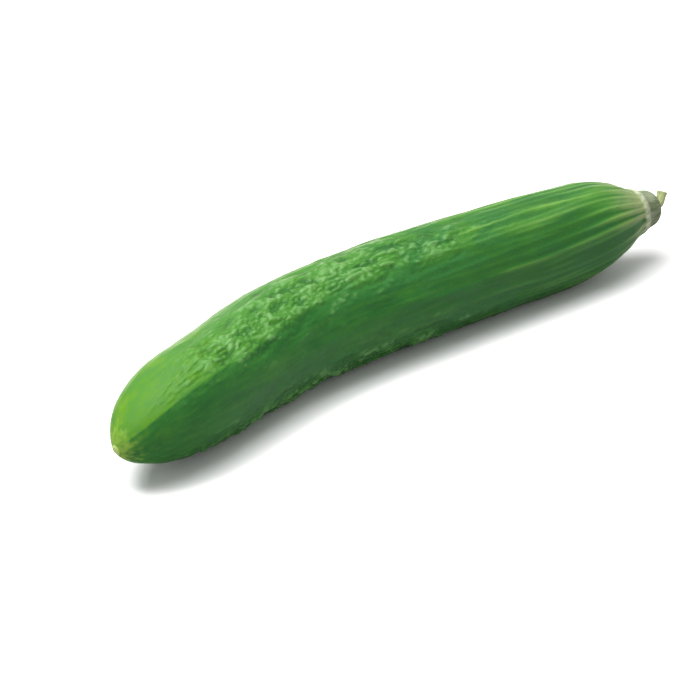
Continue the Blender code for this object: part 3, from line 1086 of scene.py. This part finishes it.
@dataclass
class Stalk:
    """The stub of the stalk, out of its socket and bent upwards, with a cut end.

    The cut end's insets are rows of width and depth: shares of the stub's radius and length.
    """

    form: FruitForm
    shift: Vector
    radius: float = 0.0022
    gap: float = 0.0003
    straight: float = 0.0042
    rise: float = 0.0056
    lean: Triple = (0.55, 0.30, 0.78)
    sides: int = 40
    cuts: int = 22
    ridges: int = 5
    ridge_height: float = 0.00012
    bend_length: float = 0.0024
    insets: Rows = ((0.14, 0.0), (0.34, -0.02), (0.14, -0.03))
    waist: float = 0.92
    flare: float = 0.10
    flare_from: float = 0.85
    socket_share: float = 0.25
    rim_share: float = 0.9

    def build(self) -> Piece:
        """Add a cylinder, cut it across, sink its pith, and bend it along its path.

        Returns:
            The stalk's object.
        """
        clear_selection()
        bpy.ops.mesh.primitive_cylinder_add(
            vertices=self.sides, radius=1.0, depth=1.0, location=(0, 0, 0.5), end_fill_type="NGON"
        )
        piece = bpy.context.object
        piece.name = "stalk_stub"
        bpy.ops.object.transform_apply(location=True, rotation=True, scale=True)
        bpy.ops.object.mode_set(mode="EDIT")
        for cut in range(1, self.cuts):
            bpy.ops.mesh.select_all(action="SELECT")
            bpy.ops.mesh.bisect(plane_co=(0, 0, cut / self.cuts), plane_no=(0, 0, 1))
        self.select_cap(piece)
        for thickness, depth in self.insets:
            bpy.ops.mesh.inset(thickness=thickness, depth=depth)
        bpy.ops.object.mode_set(mode="OBJECT")
        self.bend(piece)
        rounding = piece.modifiers.new("rounding", "SUBSURF")
        rounding.levels = 1
        rounding.render_levels = 1
        bpy.ops.object.modifier_apply(modifier=rounding.name)
        bpy.ops.object.shade_smooth()
        return piece

    def select_cap(self, piece: Piece) -> None:
        """Select only the face at the cut end."""
        bpy.ops.mesh.select_all(action="DESELECT")
        bpy.ops.object.mode_set(mode="OBJECT")
        for face in piece.data.polygons:
            face.select = face.normal.z > 0.9 and face.center.z > 0.99
        bpy.ops.object.mode_set(mode="EDIT")
        bpy.ops.mesh.select_mode(type="FACE")

    def path(self, steps: int = 60) -> tuple[list[Vector], list[Vector]]:
        """Walk the path of the stalk, with a rounded bend.

        Args:
            steps: How many steps the path is walked in.

        Returns:
            The points and the directions there.
        """
        end, forward, side, up = (Vector(rows[0]) for rows in self.form.place(np.array([1.0])))
        lean = (forward * self.lean[0] + side * self.lean[1] + up * self.lean[2]).normalized()
        length = self.straight + self.rise
        at = end + self.shift - forward * (self.form.socket_depth - self.gap)
        line, ways = [], []
        for i in range(steps + 1):
            walked = length * i / steps
            share = (walked - self.straight) / self.bend_length + 0.5
            way = forward.lerp(lean, min(max(share, 0.0), 1.0)).normalized()
            line.append(at.copy())
            ways.append(way)
            at = at + way * (length / steps)
        return line, ways

    def bend(self, piece: Piece) -> None:
        """Carry the straight unit cylinder onto the path, with its ridges and flared end.

        Args:
            piece: The cylinder.
        """
        line, ways = self.path()
        mesh = piece.data
        along, straight = [], []
        length = self.straight + self.rise
        for vertex in mesh.vertices:
            share = min(max(vertex.co.z, 0.0), 1.0)
            at = share * (len(line) - 1)
            i = min(int(at), len(line) - 2)
            point = line[i].lerp(line[i + 1], at - i)
            way = ways[i].lerp(ways[i + 1], at - i).normalized()
            side = Vector((0, 0, 1)).cross(way).normalized()
            up = way.cross(side)
            out = math.hypot(vertex.co.x, vertex.co.y)
            angle = math.atan2(vertex.co.y, vertex.co.x)
            waist = self.waist + (1 - self.waist) * (2 * share - 1) ** 2
            waist += self.flare * max(share - self.flare_from, 0.0) / (1 - self.flare_from)
            in_socket = share < self.socket_share
            ridge = 0.0 if in_socket else self.ridge_height * math.cos(self.ridges * angle)
            widest = 1.0 if in_socket else 1 + self.flare
            radius = out * (self.radius * min(waist, widest) + ridge)
            lower = (vertex.co.z - share) * length
            place = point + (side * math.cos(angle) + up * math.sin(angle)) * radius
            along.append(share if out > self.rim_share else 1.0)
            straight.append((share * length, vertex.co.x * self.radius, vertex.co.y * self.radius))
            vertex.co = place + way * lower
        mark_mesh(mesh, Mark.ALONG, np.array(along))
        mark_mesh(mesh, Mark.STRAIGHT, np.array(straight))

    def dress(self, piece: Piece, material: Material) -> None:
        """Give the stalk its finish and its place in the model."""
        piece.data.materials.append(material)
        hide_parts("stalk")
        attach(piece, "root")


def put_in_scene(data: bpy.types.ID, turned: Matrix) -> Piece:
    """Put a camera or a light in the scene, at a place and a turn."""
    item = bpy.data.objects.new(data.name, data)
    item.matrix_world = turned
    bpy.context.scene.collection.objects.link(item)
    return item


@dataclass(frozen=True)
class Softbox:
    """A square soft light that looks at a point."""

    name: str
    place: Triple
    size: float
    power: float
    colour: Colour = (1.0, 1.0, 1.0)

    def build(self, target: Vector) -> Piece:
        """Hang the light and turn it to its target."""
        lamp = bpy.data.lights.new(self.name, "AREA")
        lamp.shape = "SQUARE"
        lamp.size = self.size
        lamp.energy = self.power
        lamp.color = self.colour
        place = Vector(self.place)
        turned = (target - place).to_track_quat("-Z", "Y").to_matrix().to_4x4()
        return put_in_scene(lamp, Matrix.Translation(place) @ turned)


@dataclass
class Studio:
    """The floor, the lights, the surrounding light and the camera."""

    azimuth: float = -42.68
    elevation: float = 28.5
    distance: float = 1.1
    lens: float = 136.0
    sensor: float = 36.0
    middle: Triple = (-0.0088, 0.00475, 0.0231)
    middle_right_mm: float = 5.56
    middle_up_mm: float = 20.21
    floor_size: float = 8.0
    floor_colour: Colour = (0.90, 0.90, 0.90)
    floor_bounce: Colour = (0.50, 0.50, 0.50)
    floor_roughness: float = 0.9
    floor_specular: float = 0.1
    surround: float = 0.54
    boxes: tuple[Softbox, ...] = (
        Softbox("key_light", (-0.20, 0.22, 1.15), 1.15, 25.0),
        Softbox("glint_light", (-0.55, 0.15, 0.95), 0.22, 3.0),
        Softbox("rim_light", (0.35, 1.30, 0.45), 0.6, 1.0),
    )

    def axes(self) -> tuple[Vector, Vector, Vector]:
        """Give the camera's right, up and forward directions."""
        turn = math.radians(self.azimuth)
        tilt = math.radians(self.elevation)
        right = Vector((math.cos(turn), math.sin(turn), 0.0))
        level = Vector((-math.sin(turn), math.cos(turn), 0.0))
        above = Vector((0.0, 0.0, 1.0))
        up = level * math.sin(tilt) + above * math.cos(tilt)
        forward = level * math.cos(tilt) - above * math.sin(tilt)
        return right, up, forward

    def build_camera(self) -> Piece:
        """Set the camera at the photograph's viewing angle.

        Returns:
            The camera object.
        """
        right, up, forward = self.axes()
        ray = forward * self.distance
        ray += (right * self.middle_right_mm + up * self.middle_up_mm) / 1000
        place = Vector(self.middle) - ray.normalized() * self.distance
        lens = bpy.data.cameras.new("camera")
        lens.lens = self.lens
        lens.sensor_width = self.sensor
        turned = Matrix((right, up, -forward)).transposed().to_4x4()
        camera = put_in_scene(lens, Matrix.Translation(place) @ turned)
        bpy.context.scene.camera = camera
        return camera

    def build_floor(self) -> Piece:
        """Lay the pale floor."""
        clear_selection()
        bpy.ops.mesh.primitive_plane_add(size=self.floor_size, location=(0, 0, 0))
        floor = bpy.context.object
        floor.name = "floor"
        material, sheet, shader = new_material("pale_floor")
        path = sheet.add("ShaderNodeLightPath", "seen or lit by")
        colour = sheet.mix(path.outputs["Is Camera Ray"], self.floor_bounce, self.floor_colour)
        inputs = {
            "Base Color": colour,
            "Roughness": self.floor_roughness,
            "Specular IOR Level": self.floor_specular,
        }
        sheet.feed(shader, inputs)
        floor.data.materials.append(material)
        return floor

    def build_surround(self) -> None:
        """Fill the room with plain soft light."""
        world = bpy.data.worlds.new("studio")
        world.use_nodes = True
        background = world.node_tree.nodes["Background"]
        background.inputs["Color"].default_value = (1.0, 1.0, 1.0, 1.0)
        background.inputs["Strength"].default_value = self.surround
        bpy.context.scene.world = world

    def build(self) -> None:
        """Build the whole studio and set how the picture is shown."""
        self.build_camera()
        self.build_floor()
        self.build_surround()
        for box in self.boxes:
            box.build(Vector(self.middle))
        bpy.context.scene.view_settings.view_transform = "Standard"
        bpy.context.scene.view_settings.look = "None"


def report(piece: Piece) -> None:
    """Log the name, the triangles and the size of a piece."""
    triangles = sum(len(face.vertices) - 2 for face in piece.data.polygons)
    size = " x ".join(f"{side * 1000:.1f}" for side in piece.dimensions)
    LOG.info("%s: %d triangles, %s mm", piece.name, triangles, size)


def main() -> None:
    """Build the studio, the fruit and the stalk, and report them."""
    logging.basicConfig(level=logging.INFO, format="%(name)s: %(message)s")
    Studio().build()
    grain = plant_grain_group()
    fruit = Fruit()
    skin = fruit.build()
    fruit.dress(skin, SkinFinish().material(grain))
    report(skin)
    stalk = Stalk(fruit.form, fruit.shift)
    stub = stalk.build()
    stalk.dress(stub, StalkFinish().material(grain))
    report(stub)


if __name__ == "__main__":
    main()
